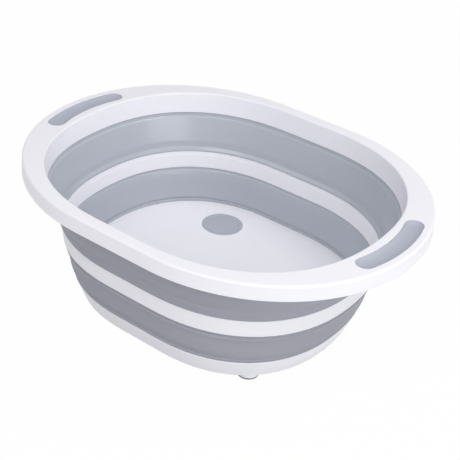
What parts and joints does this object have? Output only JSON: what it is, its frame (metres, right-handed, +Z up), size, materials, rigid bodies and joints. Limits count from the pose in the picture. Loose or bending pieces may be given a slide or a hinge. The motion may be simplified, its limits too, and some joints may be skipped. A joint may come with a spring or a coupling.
{
  "type": "collapsible washbasin",
  "caption": "Oval folding camp washbasin: stiff rim with soft grips, middle ring and base joined by soft folding walls, with a drain plug and feet.",
  "frame": {"origin": "on the ground under the centre of the standing basin", "axes": "+Z up, +X along the long axis towards the right grip, -Y towards the viewer's side"},
  "size_m": [0.4232, 0.328, 0.1509],
  "materials": {
    "white_plastic": "satin",
    "grey_soft_wall": "satin",
    "grey_grip": "satin",
    "dark_foot": "matte"
  },
  "bodies": {
    "base": {"base": "white_plastic", "lower_bellows": "grey_soft_wall", "foot_pad_front_left": "dark_foot", "foot_pad_front_right": "dark_foot", "foot_pad_rear_left": "dark_foot", "foot_pad_rear_right": "dark_foot"},
    "ring": {"middle_ring": "white_plastic", "upper_bellows": "grey_soft_wall"},
    "rim": {"rim": "white_plastic", "grip_pad_left": "grey_grip", "grip_pad_right": "grey_grip"},
    "plug": {"drain_plug": "grey_grip"}
  },
  "joints": [
    {"name": "ring_slide", "type": "slide", "parent": "base", "child": "ring", "axis": [0, 0, 1], "range_m": [-0.044, 0], "deforming": ["lower_bellows"]},
    {"name": "rim_slide", "type": "slide", "parent": "ring", "child": "rim", "axis": [0, 0, 1], "range_m": [-0.05, 0], "deforming": ["upper_bellows"]},
    {"name": "plug_lift", "type": "slide", "parent": "base", "child": "plug", "axis": [0, 0, 1], "range_m": [0, 0.03]}
  ]
}
